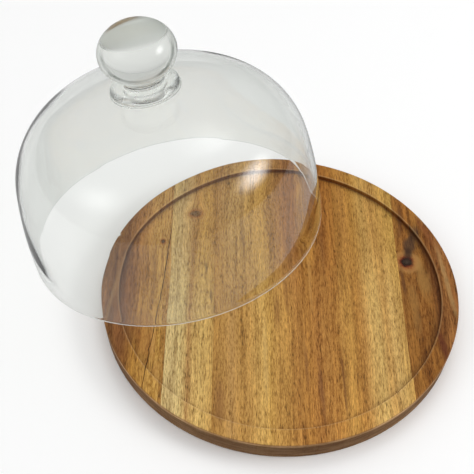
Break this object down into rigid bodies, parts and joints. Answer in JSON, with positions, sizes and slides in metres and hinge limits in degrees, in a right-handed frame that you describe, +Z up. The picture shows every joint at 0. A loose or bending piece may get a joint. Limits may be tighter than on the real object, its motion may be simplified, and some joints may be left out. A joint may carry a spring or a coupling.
{
  "type": "cake stand dome",
  "caption": "Round edge-glued wooden cake board with a turned recess, under a clear glass dome that has a solid ball knob on a ringed neck.",
  "frame": {"origin": "centre of the board's underside", "axes": "+Z up, +Y away from the front and within two degrees of the board's grain, +X to the right across the staves"},
  "size_m": [0.3636, 0.3031, 0.2464],
  "materials": {
    "wood_stave_1": "oiled satin",
    "wood_stave_2": "oiled satin",
    "wood_stave_3": "oiled satin",
    "wood_stave_4": "oiled satin",
    "wood_stave_5": "oiled satin",
    "wood_stave_6": "oiled satin",
    "dome_glass": "clear, fire polished",
    "collar_glass": "clear, fire polished",
    "knob_glass": "clear, fire polished"
  },
  "bodies": {
    "board": {"stave_1_left": "wood_stave_1", "stave_2": "wood_stave_2", "stave_3_wide": "wood_stave_3", "stave_4": "wood_stave_4", "stave_5": "wood_stave_5", "stave_6_right": "wood_stave_6"},
    "glass_dome": {"dome_shell": "dome_glass", "neck_collar": "collar_glass", "ball_knob": "knob_glass"}
  },
  "joints": [
    {"name": "lid_carry", "type": "hinge", "parent": "board", "child": "glass_dome", "pos_m": [-0.10527, 0.2939, -0.23467], "axis": [0.5148, 0.6557, 0.5523], "range_deg": [-20, 15]}
  ]
}
